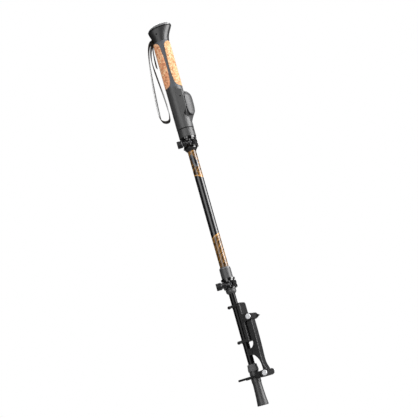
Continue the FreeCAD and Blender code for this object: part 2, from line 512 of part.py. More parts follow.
def bolt(tag, p, lead):
    u, z = p
    b = cyl(5.8, (u, -BARREL_HALF - 2.1, z), (u, -BARREL_HALF - 0.15, z))
    ed = [e for e in b.Edges if abs(e.CenterOfMass.y + BARREL_HALF + 2.1) < 1e-3 and e.Length > 30]
    b = b.makeFillet(0.9, ed)
    b = b.fuse(cyl(3.0, (u, -BARREL_HALF - 0.2, z), (u, BARREL_HALF + 5.0, z)))
    put("hinge_bolt_" + tag, b, T)
    n = cyl(5.6, (u, BARREL_HALF + 0.15, z), (u, BARREL_HALF + 4.6, z))
    n = n.fuse(cone(4.9, 3.4, (u, BARREL_HALF + 4.6, z), (u, BARREL_HALF + 7.4, z))).cut(cyl(3.05, (u, 0, z), (u, BARREL_HALF + 5.1, z)))
    put("hinge_nut_" + tag, n, T)


bolt("upper", PIN1, 0)
bolt("lower", PIN2, 0)

OUT = [(33.2, 177.0), (33.2, 150.0), (32.5, 122.0), (31.6, 104.0), (31.2, 92.0), (31.8, 83.5), (33.6, 76.5), (36.4, 69.2)]
IN = [(27.6, 66.0), (27.8, 73.0), (27.6, 79.0), (27.1, 84.0), (26.2, 88.8), (24.6, 93.4), (22.0, 98.0), (19.0, 101.8), (15.6, 104.8), (11.5, 106.3), (4.2, 106.3)]
IN2 = [(4.2, 120.0), (13.2, 120.0), (17.0, 121.6), (20.4, 125.4), (22.3, 130.0), (22.4, 133.6), (21.1, 138.5), (21.1, 172.0), (23.0, 177.5), (26.5, 181.0)]


def spl(pts):
    c = Part.BSplineCurve()
    c.interpolate([V(x, -ARM_HALF, z) for x, z in pts])
    return c.toShape()


def ln(a, b):
    return Part.makeLine(V(a[0], -ARM_HALF, a[1]), V(b[0], -ARM_HALF, b[1]))


edges = [spl(OUT), ln(OUT[-1], IN[0]), spl(IN[:-1]), ln(IN[-2], IN[-1]), ln(IN[-1], IN2[0]), ln(IN2[0], IN2[1]), spl(IN2[1:7]), ln(IN2[6], IN2[7]), spl(IN2[7:]), ln(IN2[-1], OUT[0])]
arm = Part.Face(Part.Wire(edges)).extrude(V(0, 2 * ARM_HALF, 0))
arm = arm.fuse(slab([(4.2, 106.3), (15.0, 106.3), (15.0, 120.0), (4.2, 120.0)], -9.6, 9.6))
arm = rounded(one(arm), 1.1, lambda e: e.CenterOfMass.x > 30.5 and abs(abs(e.CenterOfMass.y) - ARM_HALF) < 1e-3 and e.Length > 40)
arm = arm.fuse(cyl(KNUCKLE_R - 0.1, (PIN1[0], -ARM_HALF, PIN1[1]), (PIN1[0], ARM_HALF, PIN1[1])))
arm = arm.fuse(cyl(KNUCKLE_R, (PIN2[0], -ARM_HALF, PIN2[1]), (PIN2[0], ARM_HALF, PIN2[1])))
arm = arm.cut(Part.makeCylinder(LOW_R + 0.45, 60, V(0, 0, 90)))
arm = arm.cut(cyl(3.05, (PIN1[0], -30, PIN1[1]), (PIN1[0], 30, PIN1[1]))).cut(cyl(3.05, (PIN2[0], -30, PIN2[1]), (PIN2[0], 30, PIN2[1])))
put("rest_arm", arm, T)

yoke = box(13.7, 24.6, -BARREL_HALF, BARREL_HALF, 55.8, 68.9)
yoke = rounded(yoke, 1.5, lambda e: e.BoundBox.YLength > 20 and e.CenterOfMass.x < 14)
for s in (-1, 1):
    y0, y1 = (ARM_HALF + 0.3, BARREL_HALF) if s > 0 else (-BARREL_HALF, -ARM_HALF - 0.3)
    yoke = yoke.fuse(slab([(24.0, 55.8), (PIN2[0], 55.7), (PIN2[0], PIN2[1] + 7.0), (24.0, 68.9)], y0, y1))
    yoke = yoke.fuse(cyl(KNUCKLE_R, (PIN2[0], y0, PIN2[1]), (PIN2[0], y1, PIN2[1])))
    a, b = sorted((s * 13.4, s * 17.7))
    yoke = yoke.fuse(box(13.7, 22.5, a, b, 57.4, 66.2))
yoke = yoke.cut(cyl(3.05, (PIN2[0], -30, PIN2[1]), (PIN2[0], 30, PIN2[1])))
for s in (-1, 1):
    yoke = yoke.cut(cyl(PRONG_R - 0.25, (9.0, s * PRONG_V, PRONG_Z), (20.0, s * PRONG_V, PRONG_Z)))
put("rest_yoke", yoke, T)
for s, tag in ((-1, "front"), (1, "rear")):
    pr = cyl(PRONG_R, (PRONG_TIP, s * PRONG_V, PRONG_Z), (13.6, s * PRONG_V, PRONG_Z))
    ed = [e for e in pr.Edges if abs(e.CenterOfMass.x - PRONG_TIP) < 1e-3 and e.Length > 10]
    pr = pr.makeFillet(1.6, ed)
    pr = pr.fuse(cyl(PRONG_R - 0.3, (13.0, s * PRONG_V, PRONG_Z), (19.9, s * PRONG_V, PRONG_Z)))
    put("yoke_prong_" + tag, pr, T)

# ---------------------------------------------------------------- write
for name, shape in parts.items():
    ok = shape.isValid() and shape.Volume > 0
    print(("ok  " if ok else "BAD ") + name, round(shape.Volume, 1))
    shape.exportStep("parts/" + name + ".step")
print(len(parts), "parts")
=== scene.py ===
import math

import bmesh
import bpy
import numpy as np
from mathutils import Matrix, Vector


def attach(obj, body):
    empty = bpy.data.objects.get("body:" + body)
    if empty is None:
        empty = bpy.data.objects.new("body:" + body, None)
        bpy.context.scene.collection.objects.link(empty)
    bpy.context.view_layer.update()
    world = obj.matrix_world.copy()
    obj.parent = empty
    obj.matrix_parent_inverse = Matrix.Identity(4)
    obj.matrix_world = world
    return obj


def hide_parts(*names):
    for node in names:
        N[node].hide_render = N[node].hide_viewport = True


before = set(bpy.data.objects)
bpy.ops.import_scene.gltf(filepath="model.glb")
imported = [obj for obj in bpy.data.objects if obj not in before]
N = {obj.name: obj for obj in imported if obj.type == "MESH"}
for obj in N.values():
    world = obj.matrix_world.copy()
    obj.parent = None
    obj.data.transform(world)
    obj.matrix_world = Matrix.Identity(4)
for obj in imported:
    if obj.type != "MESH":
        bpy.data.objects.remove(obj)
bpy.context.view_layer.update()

# ---------------------------------------------------------------- camera
TILT, ROLL = math.radians(13.0), math.radians(15.76)
cam_data = bpy.data.cameras.new("camera")
cam_data.lens, cam_data.sensor_width = 80.35, 36.0
cam_data.clip_start, cam_data.clip_end = 0.05, 60.0
cam = bpy.data.objects.new("camera", cam_data)
bpy.context.scene.collection.objects.link(cam)
fwd = Vector((0, math.cos(TILT), math.sin(TILT)))
up0, right0 = Vector((0, -math.sin(TILT), math.cos(TILT))), Vector((1, 0, 0))
up = up0 * math.cos(ROLL) + right0 * math.sin(ROLL)
right = right0 * math.cos(ROLL) - up0 * math.sin(ROLL)
m = Matrix((right, up, -fwd)).transposed().to_4x4()
m.translation = Vector((0.00215, -2.000, -0.024))
cam.matrix_world = m
bpy.context.scene.camera = cam


# ---------------------------------------------------------------- node helpers
class G:
    """A small wrapper for building one node material."""

    def __init__(self, name):
        self.m = bpy.data.materials.new(name)
        self.m.use_nodes = True
        self.t = self.m.node_tree
        self.t.nodes.clear()
        self.out = self.t.nodes.new("ShaderNodeOutputMaterial")
        self.b = self.t.nodes.new("ShaderNodeBsdfPrincipled")
        self.t.links.new(self.b.outputs[0], self.out.inputs[0])
        self.tc = self.t.nodes.new("ShaderNodeTexCoord")
        self.obj = self.tc.outputs["Object"]

    def n(self, kind, **kw):
        x = self.t.nodes.new(kind)
        for k, v in kw.items():
            setattr(x, k, v)
        return x

    def l(self, a, b):
        self.t.links.new(a, b)

    def val(self, sock, v):
        if isinstance(v, bpy.types.NodeSocket):
            self.l(v, sock)
        else:
            sock.default_value = v

    def math(self, op, a, b=0.0, c=0.0, clamp=False):
        x = self.n("ShaderNodeMath", operation=op, use_clamp=clamp)
        self.val(x.inputs[0], a)
        self.val(x.inputs[1], b)
        self.val(x.inputs[2], c)
        return x.outputs[0]

    def xyz(self, v=None):
        x = self.n("ShaderNodeSeparateXYZ")
        self.l(v or self.obj, x.inputs[0])
        return x.outputs[0], x.outputs[1], x.outputs[2]

    def vec(self, a, b, c):
        x = self.n("ShaderNodeCombineXYZ")
        for i, v in enumerate((a, b, c)):
            self.val(x.inputs[i], v)
        return x.outputs[0]

    def scaled(self, sx, sy, sz, v=None):
        x = self.n("ShaderNodeVectorMath", operation="MULTIPLY")
        self.l(v or self.obj, x.inputs[0])
        x.inputs[1].default_value = (sx, sy, sz)
        return x.outputs[0]

    def noise(self, scale, detail=3.0, rough=0.5, v=None, distort=0.0):
        x = self.n("ShaderNodeTexNoise")
        self.l(v or self.obj, x.inputs["Vector"])
        x.inputs["Scale"].default_value = scale
        x.inputs["Detail"].default_value = detail
        x.inputs["Roughness"].default_value = rough
        x.inputs["Distortion"].default_value = distort
        return x.outputs["Fac"]

    def voronoi(self, scale, v=None, feature="F1", out="Distance"):
        x = self.n("ShaderNodeTexVoronoi", feature=feature)
        self.l(v or self.obj, x.inputs["Vector"])
        x.inputs["Scale"].default_value = scale
        return x.outputs[out]

    def ramp(self, fac, stops, mode="LINEAR"):
        x = self.n("ShaderNodeValToRGB")
        x.color_ramp.interpolation = mode
        e = x.color_ramp.elements
        e.remove(e[1])
        for i, (p, c) in enumerate(stops):
            k = e[0] if i == 0 else e.new(p)
            k.position = p
            k.color = (c[0], c[1], c[2], 1.0) if len(c) == 3 else c
        self.val(x.inputs[0], fac)
        return x.outputs[0]

    def mix(self, fac, a, b, mode="MIX"):
        x = self.n("ShaderNodeMix", data_type="RGBA", blend_type=mode)
        self.val(x.inputs[0], fac)
        for s, v in ((x.inputs[6], a), (x.inputs[7], b)):
            if isinstance(v, bpy.types.NodeSocket):
                self.l(v, s)
            else:
                s.default_value = (v[0], v[1], v[2], 1.0)
        return x.outputs[2]

    def span(self, v, a, b, lo=0.0, hi=1.0):
        x = self.n("ShaderNodeMapRange")
        x.interpolation_type = "SMOOTHSTEP"
        self.val(x.inputs["Value"], v)
        x.inputs["From Min"].default_value = a
        x.inputs["From Max"].default_value = b
        x.inputs["To Min"].default_value = lo
        x.inputs["To Max"].default_value = hi
        return x.outputs["Result"]

    def bump(self, h, strength, dist, normal=None):
        x = self.n("ShaderNodeBump")
        x.inputs["Strength"].default_value = strength
        x.inputs["Distance"].default_value = dist
        self.val(x.inputs["Height"], h)
        if normal is not None:
            self.l(normal, x.inputs["Normal"])
        return x.outputs["Normal"]

    def set(self, **kw):
        for k, v in kw.items():
            self.b.inputs[k.replace("_", " ")].default_value = v

    def color(self, c):
        self.val(self.b.inputs["Base Color"], c)

    def rough(self, c):
        self.val(self.b.inputs["Roughness"], c)

    def normal(self, nrm):
        self.l(nrm, self.b.inputs["Normal"])


def moulded(name, base, rough=0.45, grain=900.0, bump=0.15, spread=0.18, coat=0.0, coat_rough=0.1, metallic=0.0, spec=0.5, wear=0.0, stretch=(1, 1, 1)):
    """Moulded plastic, rubber or finished metal: mottled colour, uneven gloss and a fine surface grain."""
    g = G(name)
    v = g.scaled(*stretch)
    n1 = g.noise(34.0, 3.0, 0.5, v)
    n2 = g.noise(grain, 2.0, 0.5, v)
    f = g.math("ADD", g.math("MULTIPLY", n1, 0.8), g.math("MULTIPLY", n2, 0.2))
    lo = [c * (1 - spread) for c in base]
    hi = [min(1.0, c * (1 + spread)) for c in base]
    col = g.ramp(f, [(0.3, lo), (0.7, hi)])
    if wear > 0:
        s = g.noise(160.0, 6.0, 0.75, g.scaled(1, 1, 0.25))
        col = g.mix(g.span(s, 0.66, 0.74, 0.0, wear), col, [min(1.0, c * 2.2 + 0.05) for c in base])
    g.color(col)
    g.rough(g.span(n1, 0.3, 0.7, max(0.03, rough * 0.93), min(1.0, rough * 1.07)))
    g.normal(g.bump(n2, bump, 0.00005))
    g.set(Metallic=metallic, Coat_Weight=coat, Coat_Roughness=coat_rough, Specular_IOR_Level=spec)
    return g.m


# ---------------------------------------------------------------- materials
def cork_material(name, dark, mid, light, pore):
    """Pressed cork: granules of differing tone, dark pores, and seams between the granules."""
    g = G(name)
    v = g.scaled(1, 1, 0.85)
    cells = g.n("ShaderNodeSeparateColor")
    g.l(g.voronoi(310.0, v, out="Color"), cells.inputs[0])
    small = g.n("ShaderNodeSeparateColor")
    g.l(g.voronoi(640.0, v, out="Color"), small.inputs[0])
    edge = g.voronoi(310.0, v, feature="DISTANCE_TO_EDGE")
    big = g.noise(75.0, 4.0, 0.6)
    grain = g.ramp(cells.outputs[0], [(0.0, dark), (0.24, dark), (0.34, mid), (0.68, mid), (0.80, light), (1.0, light)])
    fine = g.ramp(small.outputs[0], [(0.0, dark), (0.30, mid), (0.70, mid), (1.0, light)])
    col = g.mix(0.3, grain, fine)
    speck = g.noise(520.0, 2.0, 0.6)
    col = g.mix(g.span(speck, 0.58, 0.66, 0.0, 0.6), col, pore)
    col = g.mix(g.span(edge, 0.0, 0.05, 0.25, 0.0), col, pore)
    g.color(col)
    g.rough(g.span(big, 0.3, 0.7, 0.62, 0.82))
    h = g.math("SUBTRACT", g.math("MULTIPLY", g.span(edge, 0.0, 0.12), 0.6), g.math("MULTIPLY", g.span(speck, 0.58, 0.68), 1.0))
    g.normal(g.bump(h, 0.35, 0.0003))
    g.set(Specular_IOR_Level=0.22)
    return g.m


M = {}
# The two grip panels get two copies of one cork with different colours. The left panel, out of the key light, is
# painted brighter and more orange; the right panel, in the key light, is painted paler. This difference is painted
# light, not a difference in the cork.
M["cork_left"] = cork_material("cork_painted_for_shaded_side", (0.52, 0.19, 0.088), (1.0, 0.46, 0.235), (1.0, 0.70, 0.42), (0.36, 0.115, 0.05))
M["cork_right"] = cork_material("cork_painted_for_lit_side", (0.36, 0.155, 0.065), (0.55, 0.31, 0.150), (0.72, 0.50, 0.30), (0.34, 0.13, 0.05))
M["web"] = moulded("grip_rubber", (0.060, 0.067, 0.078), rough=0.48, grain=1400, bump=0.3, spread=0.12)
M["head"] = moulded("head_rubber", (0.016, 0.016, 0.0165), rough=0.38, grain=1600, bump=0.2, spread=0.15)
M["rim"] = moulded("rim_black", (0.003, 0.003, 0.003), rough=0.5, grain=900, bump=0.1, spread=0.3, spec=0.12)
M["cap"] = moulded("cap_grey", (0.17, 0.17, 0.173), rough=0.26, grain=900, bump=0.05, spread=0.06, coat=0.6, coat_rough=0.1)
M["housing"] = moulded("housing_plastic", (0.041, 0.041, 0.0415), rough=0.46, grain=1500, bump=0.3, spread=0.10, spec=0.6)
M["ring"] = moulded("ring_plastic", (0.036, 0.036, 0.0365), rough=0.46, grain=1500, bump=0.25, spread=0.12, spec=0.6)
M["trigger"] = moulded("trigger_plastic", (0.030, 0.030, 0.031), rough=0.44, grain=1500, bump=0.2, spread=0.08, spec=0.5)
M["clamp"] = moulded("clamp_black", (0.004, 0.004, 0.0043), rough=0.18, grain=1200, bump=0.06, spread=0.3, coat=0.6, coat_rough=0.08)
M["lever"] = moulded("lever_black", (0.005, 0.005, 0.0053), rough=0.20, grain=1200, bump=0.06, spread=0.3, coat=0.8, coat_rough=0.08)
M["knob"] = moulded("knob_black", (0.008, 0.008, 0.0085), rough=0.36, grain=1200, bump=0.12, spread=0.25)
M["guide"] = moulded("acetal", (0.62, 0.62, 0.60), rough=0.4, grain=900, bump=0.08, spread=0.05)
M["sleeve"] = moulded("sleeve_plastic", (0.058, 0.058, 0.059), rough=0.44, grain=1500, bump=0.2, spread=0.12)
M["sleeve_ring"] = moulded("sleeve_ring_plastic", (0.11, 0.11, 0.112), rough=0.2, grain=900, bump=0.06, spread=0.06, coat=0.4)
M["anchor"] = moulded("anchor_plastic", (0.012, 0.012, 0.012), rough=0.5, grain=900, bump=0.1, spread=0.2)
M["rest"] = moulded("rest_nylon", (0.0095, 0.0095, 0.0100), rough=0.34, grain=1300, bump=0.25, spread=0.2, wear=0.06, spec=0.55)
M["prong"] = moulded("prong_rubber_black", (0.004, 0.004, 0.004), rough=0.38, grain=1300, bump=0.15, spread=0.3)
M["liner"] = moulded("liner_rubber_black", (0.008, 0.008, 0.008), rough=0.7, grain=1300, bump=0.2, spread=0.3)
M["collar"] = moulded("collar_grey", (0.11, 0.11, 0.112), rough=0.44, grain=1300, bump=0.15, spread=0.1)
M["ferrule"] = moulded("ferrule_black", (0.040, 0.040, 0.0405), rough=0.40, grain=1200, bump=0.08, spread=0.2, coat=0.1)
M["foot"] = moulded("foot_rubber_grey", (0.030, 0.030, 0.0305), rough=0.45, grain=1300, bump=0.3, spread=0.15, spec=0.6)
M["alu"] = moulded("drawn_aluminium", (0.62, 0.62, 0.63), rough=0.3, grain=400, bump=0.06, spread=0.06, metallic=1.0, stretch=(6, 6, 0.2))
M["washer"] = moulded("washer_black", (0.006, 0.006, 0.0065), rough=0.3, grain=1200, bump=0.08, spread=0.3)
# Near-black and barely reflective. On the strap pin this is painted shade: the pin's recessed end reads as a dark hole
# in the pommel. The ring screws share this material.
M["pin_black"] = moulded("pin_black", (0.002, 0.002, 0.002), rough=0.6, grain=900, bump=0.1, spread=0.3, spec=0.1)


def steel_material(name, base, rough):
    g = G(name)
    v = g.scaled(1, 1, 1)
    n1 = g.noise(900.0, 3.0, 0.6, g.scaled(1, 1, 0.1, v))
    n2 = g.noise(120.0, 4.0, 0.6)
    g.color(g.ramp(n2, [(0.3, [c * 0.86 for c in base]), (0.7, [min(1, c * 1.05) for c in base])]))
    g.rough(g.span(n1, 0.3, 0.7, rough * 0.8, rough * 1.3))
    g.normal(g.bump(n1, 0.06, 0.0001))
    g.set(Metallic=1.0)
    return g.m


M["steel"] = steel_material("zinc_steel", (0.55, 0.55, 0.56), 0.30)
M["dark_steel"] = steel_material("blackened_steel", (0.05, 0.05, 0.055), 0.35)


def bolt_material():
    g = G("bolt_bright")
    n2 = g.noise(240.0, 4.0, 0.6)
    g.color(g.ramp(n2, [(0.3, (0.80, 0.81, 0.83)), (0.7, (0.92, 0.93, 0.95))]))
    g.rough(g.span(n2, 0.3, 0.7, 0.38, 0.5))
    g.normal(g.bump(g.noise(1500.0), 0.08, 0.0001))
    g.set(Metallic=0.35, Specular_IOR_Level=0.6)
    return g.m


M["bolt"] = bolt_material()


def tube_black():
    """Black anodised tube under clear lacquer, with faint draw lines along it."""
    g = G("tube_black")
    lines = g.noise(420.0, 2.0, 0.5, g.scaled(1, 1, 0.02))
    mott = g.noise(40.0, 3.0, 0.5)
    g.color(g.ramp(g.math("ADD", g.math("MULTIPLY", lines, 0.3), g.math("MULTIPLY", mott, 0.7)), [(0.3, (0.004, 0.004, 0.0043)), (0.7, (0.008, 0.008, 0.0083))]))
    g.rough(g.span(mott, 0.3, 0.7, 0.16, 0.20))
    g.normal(g.bump(lines, 0.02, 0.00003))
    g.set(Coat_Weight=0.06, Coat_Roughness=0.09, Specular_IOR_Level=0.11)
    return g.m


M["tube_black"] = tube_black()


def tube_print():
    """The printed tube: a black band between two stretches of dark and golden brown, with slate and black leaves, under lacquer."""
    g = G("tube_print")
    x, y, z = g.xyz()
    p = g.vec(x, y, g.math("MULTIPLY", z, 0.5))
    wob = g.math("SUBTRACT", g.noise(90.0, 1.5, 0.5, p), 0.5)
    base = g.noise(78.0, 2.0, 0.5, g.vec(x, y, g.math("MULTIPLY", g.math("SUBTRACT", z, x), 0.8)), 0.5)
    col = g.ramp(base, [(0.34, (0.035, 0.018, 0.006)), (0.43, (0.085, 0.041, 0.012)), (0.52, (0.15, 0.074, 0.020)), (0.63, (0.27, 0.135, 0.036))])
    # round the back, larger slate and tan leaves
    cell = g.n("ShaderNodeSeparateColor")
    g.l(g.voronoi(95.0, g.vec(x, y, g.math("ADD", g.math("MULTIPLY", z, 0.45), g.math("MULTIPLY", wob, 0.008))), out="Color"), cell.inputs[0])
    back = g.span(y, 0.0, 0.003)
    col = g.mix(g.math("MULTIPLY", g.span(cell.outputs[0], 0.70, 0.71), back), col, (0.075, 0.090, 0.105))
    col = g.mix(g.math("MULTIPLY", g.span(cell.outputs[1], 0.80, 0.81), back), col, (0.24, 0.16, 0.085))
    # slanting blades: a dark line with a golden one beside it
    s1 = g.math("ADD", g.math("SUBTRACT", z, g.math("MULTIPLY", x, 1.05)), g.math("MULTIPLY", wob, 0.016))
    f1 = g.math("FRACT", g.math("DIVIDE", s1, 0.0118))
    dark = g.math("MULTIPLY", g.span(f1, 0.05, 0.12), g.span(f1, 0.40, 0.33))
    gold = g.math("MULTIPLY", g.span(f1, 0.40, 0.46), g.span(f1, 0.66, 0.58))
    some = g.noise(55.0, 1.0, 0.5, g.vec(x, y, g.math("ADD", z, 0.37)))
    col = g.mix(g.math("MULTIPLY", dark, g.span(some, 0.36, 0.46, 0.0, 0.75)), col, (0.022, 0.013, 0.006))
    col = g.mix(g.math("MULTIPLY", gold, g.span(some, 0.44, 0.54, 0.0, 0.8)), col, (0.42, 0.21, 0.052))
    # crossing twigs the other way, thin and sparse
    s2 = g.math("ADD", g.math("ADD", z, g.math("MULTIPLY", x, 0.9)), g.math("MULTIPLY", wob, 0.02))
    f2 = g.math("FRACT", g.math("DIVIDE", s2, 0.0205))
    twig = g.math("MULTIPLY", g.span(f2, 0.42, 0.47), g.span(f2, 0.62, 0.56))
    col = g.mix(g.math("MULTIPLY", twig, g.span(some, 0.54, 0.46, 0.0, 0.8)), col, (0.26, 0.13, 0.034))
    # a long slate leaf with a black heart near the upper end
    xs = g.math("ADD", g.math("MULTIPLY_ADD", z, 0.22, -0.5512 * 0.22), g.math("MULTIPLY_ADD", wob, 0.004, x))

    def spot(xc, zc, a, b):
        u = g.math("DIVIDE", g.math("SUBTRACT", xs, xc), a)
        w = g.math("DIVIDE", g.math("SUBTRACT", z, zc), b)
        r = g.math("ADD", g.math("MULTIPLY", u, u), g.math("MULTIPLY", w, w))
        return g.math("MULTIPLY", g.span(r, 1.10, 0.90), g.span(y, 0.0, -0.001))

    leaf = spot(-0.0004, 0.5512, 0.0060, 0.0150)
    heart = spot(0.0012, 0.5514, 0.0038, 0.0118)
    col = g.mix(leaf, col, g.ramp(g.noise(110.0, 2.0, 0.5, p), [(0.4, (0.026, 0.034, 0.048)), (0.6, (0.070, 0.080, 0.092))]))
    col = g.mix(heart, col, (0.010, 0.011, 0.014))
    # black band with slanting ends
    wb = g.math("MULTIPLY", wob, 0.006)
    zb = g.math("ADD", g.math("ADD", z, g.math("MULTIPLY", x, 0.42)), wb)
    zc = g.math("ADD", g.math("ADD", z, g.math("MULTIPLY", x, -0.60)), wb)
    band = g.math("MULTIPLY", g.span(zc, 0.3752, 0.3762), g.span(zb, 0.5146, 0.5136))
    edge = g.math("MULTIPLY", g.span(zc, 0.3725, 0.3735), g.span(zb, 0.5170, 0.5160))
    black = g.ramp(g.noise(50.0, 3.0), [(0.3, (0.007, 0.007, 0.0075)), (0.7, (0.011, 0.011, 0.0115))])
    col = g.mix(edge, col, (0.50, 0.25, 0.06))
    col = g.mix(band, col, black)
    g.color(col)
    g.rough(g.span(g.noise(60.0), 0.3, 0.7, 0.17, 0.22))
    g.normal(g.bump(g.noise(700.0), 0.02, 0.00003))
    g.set(Coat_Weight=0.5, Coat_Roughness=0.07, Specular_IOR_Level=0.36)
    return g.m


M["tube_print"] = tube_print()


def webbing_material(name, dark, light, run=None, bright=None):
    """Woven webbing: a fine twill of picks across the band. run gives how strongly a painted sheen shows along the
    band; bright is its colour, a pale grey that stands in for the key light's reflection on the satin webbing.
    """
    g = G(name)
    uv = g.n("ShaderNodeUVMap", uv_map="weave").outputs[0]
    u, v, _ = g.xyz(uv)
    a = g.math("SINE", g.math("MULTIPLY", g.math("ADD", u, v), 2 * math.pi / 0.0016))
    b = g.math("SINE", g.math("MULTIPLY", g.math("SUBTRACT", u, v), 2 * math.pi / 0.0016))
    w = g.math("MULTIPLY_ADD", g.math("MULTIPLY", a, b), 0.5, 0.5)
    fuzz = g.noise(1800.0, 3.0, 0.6)
    f = g.math("ADD", g.math("MULTIPLY", w, 0.7), g.math("MULTIPLY", fuzz, 0.3))
    col = g.ramp(f, [(0.2, dark), (0.8, light)])
    if run:
        k = g.ramp(g.math("DIVIDE", v, 0.4205), [(q, (t, t, t)) for q, t in run])
        col = g.mix(k, col, g.ramp(f, [(0.2, [c * 0.86 for c in bright]), (0.8, bright)]))
    g.color(col)
    g.rough(g.span(fuzz, 0.3, 0.7, 0.62, 0.85))
    g.normal(g.bump(f, 0.35, 0.0002))
    g.set(Sheen_Weight=0.05, Sheen_Roughness=0.4, Specular_IOR_Level=0.14)
    return g.m


# Painted sheen: along these stretches of the loop, the strap's dark colour is blended toward pale grey where the
# webbing would catch the key light. The outer face's copy gets a lighter grey than the inner face's. This is painted
# light, not a lighter yarn.
PAINTED_SHEEN_RUN = [(0.0, 0.0), (0.075, 0.02), (0.13, 0.55), (0.20, 1.0), (0.445, 1.0), (0.47, 0.05), (0.55, 0.0), (0.575, 1.0), (0.66, 0.8), (0.74, 0.10), (0.80, 0.0), (1.0, 0.0)]
M["webbing_out"] = webbing_material("webbing_outer_painted_sheen", (0.010, 0.006, 0.003), (0.030, 0.020, 0.012), PAINTED_SHEEN_RUN, (0.62, 0.62, 0.62))
M["webbing_in"] = webbing_material("webbing_inner_painted_sheen", (0.010, 0.006, 0.003), (0.028, 0.019, 0.012), PAINTED_SHEEN_RUN, (0.46, 0.46, 0.46))
M["webbing_tail"] = webbing_material("webbing_tail", (0.014, 0.009, 0.005), (0.045, 0.032, 0.021))
M["thread"] = moulded("thread", (0.10, 0.08, 0.06), rough=0.8, grain=2000, bump=0.3, spread=0.3)

USE = {
    "cork_left": "cork_panel_left", "cork_right": "cork_panel_right", "web": "grip_web", "head": "pommel", "rim": "pommel_rim", "cap": "pommel_cap",
    "anchor": "strap_anchor", "housing": "housing_left housing_right", "ring": "lower_ring", "trigger": "trigger_paddle",
    "clamp": "upper_nose upper_clamp_collar lower_clamp_collar", "lever": "upper_clamp_lever lower_clamp_lever",
    "knob": "upper_clamp_knob lower_clamp_knob", "tube_print": "middle_tube", "tube_black": "lower_tube", "guide": "middle_guide lower_guide",
    "sleeve": "lower_sleeve", "sleeve_ring": "lower_sleeve_ring", "alu": "handle_tube",
    "steel": "trigger_spring upper_tension_screw lower_tension_screw lock_plunger steel_tip housing_screw_lower housing_screw_upper",
    "washer": "upper_washer lower_washer", "pin_black": "strap_pin ring_screw_right ring_screw_left ring_screw_back",
    "dark_steel": "trigger_pin upper_lever_pin lower_lever_pin",
    "bolt": "hinge_bolt_upper hinge_bolt_lower hinge_nut_upper hinge_nut_lower", "rest": "rest_bracket rest_arm rest_yoke",
    "prong": "yoke_prong_front yoke_prong_rear", "liner": "clip_liner_lower clip_liner_upper", "collar": "foot_collar",
    "ferrule": "foot_ferrule", "foot": "rubber_foot", "webbing_out": "strap_loop strap_tail",
}
for key, names in USE.items():
    for n in names.split():
        o = N[n]
        o.data.materials.clear()
        o.data.materials.append(M[key])

# ---------------------------------------------------------------- wrist strap
LOOP = [(-0.0146, 0.8546), (-0.0210, 0.8544), (-0.0292, 0.8465), (-0.0362, 0.8220), (-0.0408, 0.7860), (-0.0450, 0.7420), (-0.0486, 0.6840), (-0.0482, 0.6625),
        (-0.0365, 0.6554), (-0.0259, 0.6595), (-0.0260, 0.7040), (-0.0298, 0.7520), (-0.0336, 0.8060), (-0.0282, 0.8335), (-0.0200, 0.8506), (-0.0146, 0.8509)]
TAIL = [(-0.0146, 0.8470), (-0.0192, 0.8464), (-0.0223, 0.8380), (-0.0246, 0.8160), (-0.0254, 0.7895)]
STRAP_W, STRAP_T = 0.018, 0.0018


def nurbs_line(name, pts):
    """Points along the smooth line of a route in the XZ plane."""
    cu = bpy.data.curves.new(name, "CURVE")
    cu.dimensions = "3D"
    cu.resolution_u = 24
    s = cu.splines.new("NURBS")
    s.points.add(len(pts) - 1)
    for i, (x, z) in enumerate(pts):
        s.points[i].co = (x, 0.0, z, 1.0)
    s.order_u = 3
    s.use_endpoint_u = True
    o = bpy.data.objects.new(name, cu)
    bpy.context.scene.collection.objects.link(o)
    bpy.context.view_layer.update()
    me = bpy.data.meshes.new_from_object(o)
    line = [Vector(v.co) for v in me.vertices]
    bpy.data.objects.remove(o)
    bpy.data.meshes.remove(me)
    return line


def resample(line, step):
    d = [0.0]
    for a, b in zip(line, line[1:]):
        d.append(d[-1] + (b - a).length)
    n = max(8, int(round(d[-1] / step)))
    out, j = [], 0
    for i in range(n + 1):
        t = d[-1] * i / n
        while j < len(d) - 2 and d[j + 1] < t:
            j += 1
        f = (t - d[j]) / max(1e-12, d[j + 1] - d[j])
        out.append(line[j].lerp(line[j + 1], min(1.0, f)))
    return out, d[-1]


